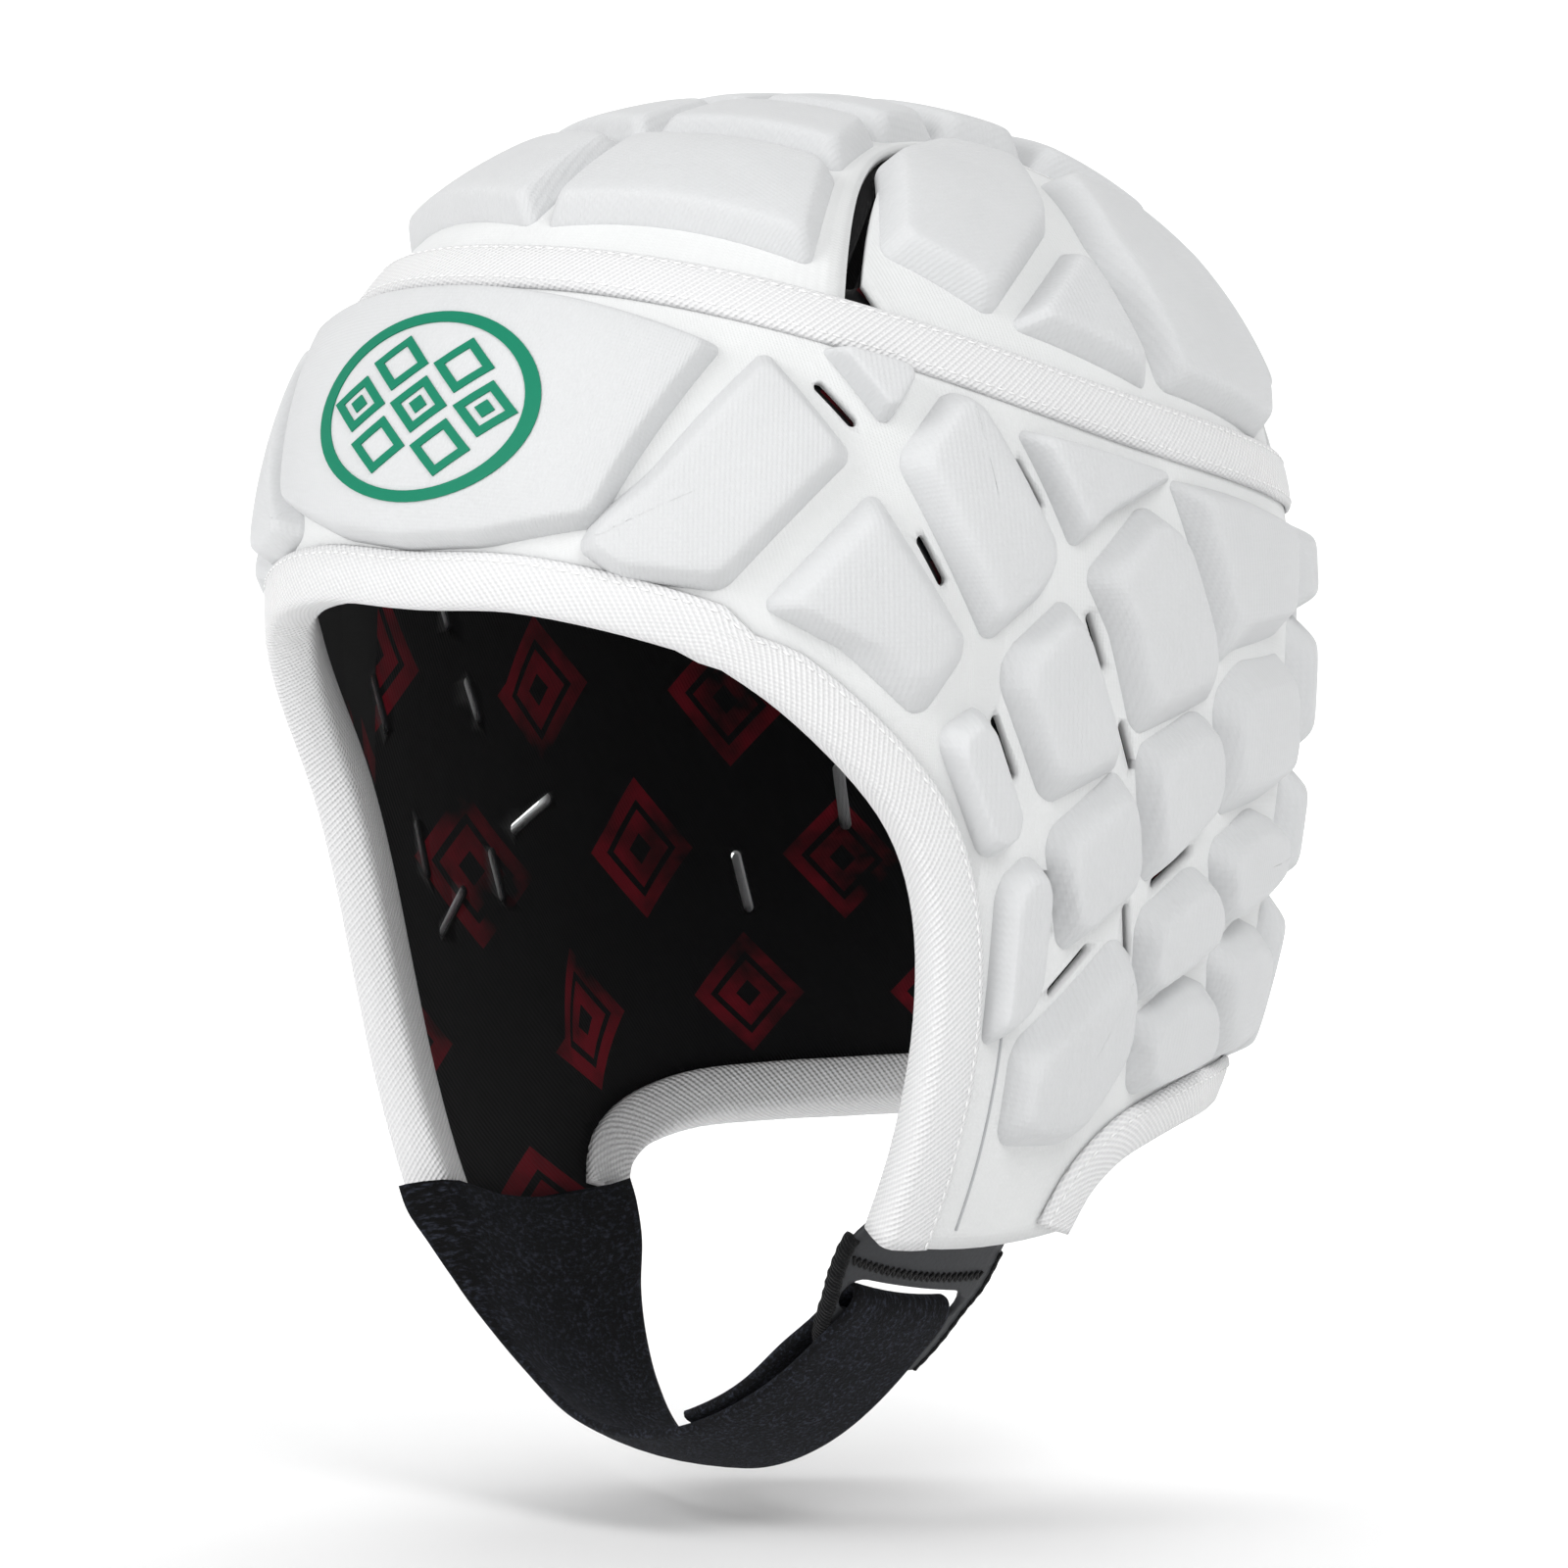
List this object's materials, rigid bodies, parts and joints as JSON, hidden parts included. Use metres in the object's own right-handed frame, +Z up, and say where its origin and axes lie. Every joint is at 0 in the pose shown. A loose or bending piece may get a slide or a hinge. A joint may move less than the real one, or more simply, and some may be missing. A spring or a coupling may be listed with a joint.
{
  "type": "rugby scrum cap",
  "caption": "Padded rugby head guard of white knit with raised foam pads, vent slits, black lining, flaps over the ears and a dark chin strap through a slot tab.",
  "frame": {"origin": "the inside of the crown, where the top of the wearer's head touches the lining", "axes": "+Z up out of the crown, -Y to the front where the wearer looks, +X to the wearer's left"},
  "size_m": [0.1787, 0.2188, 0.2618],
  "materials": {
    "padded_knit": "soft light grey-white knit laminated to foam",
    "woven_tape": "white woven tape",
    "lining_cloth": "black stretch lining with a small red print",
    "tab_cloth": "smooth dark grey coated cloth",
    "strap_webbing": "black brushed webbing"
  },
  "bodies": {
    "root": {"padded_band": "padded_knit", "crown_strip": "padded_knit", "crown_side_left": "padded_knit", "crown_side_right": "padded_knit", "crown_tape": "woven_tape", "face_binding": "woven_tape", "nape_binding": "woven_tape", "lining": "lining_cloth", "slot_tab": "tab_cloth", "tab_edging_front": "strap_webbing", "tab_edging_rear": "strap_webbing", "chin_strap": "strap_webbing"}
  },
  "joints": []
}
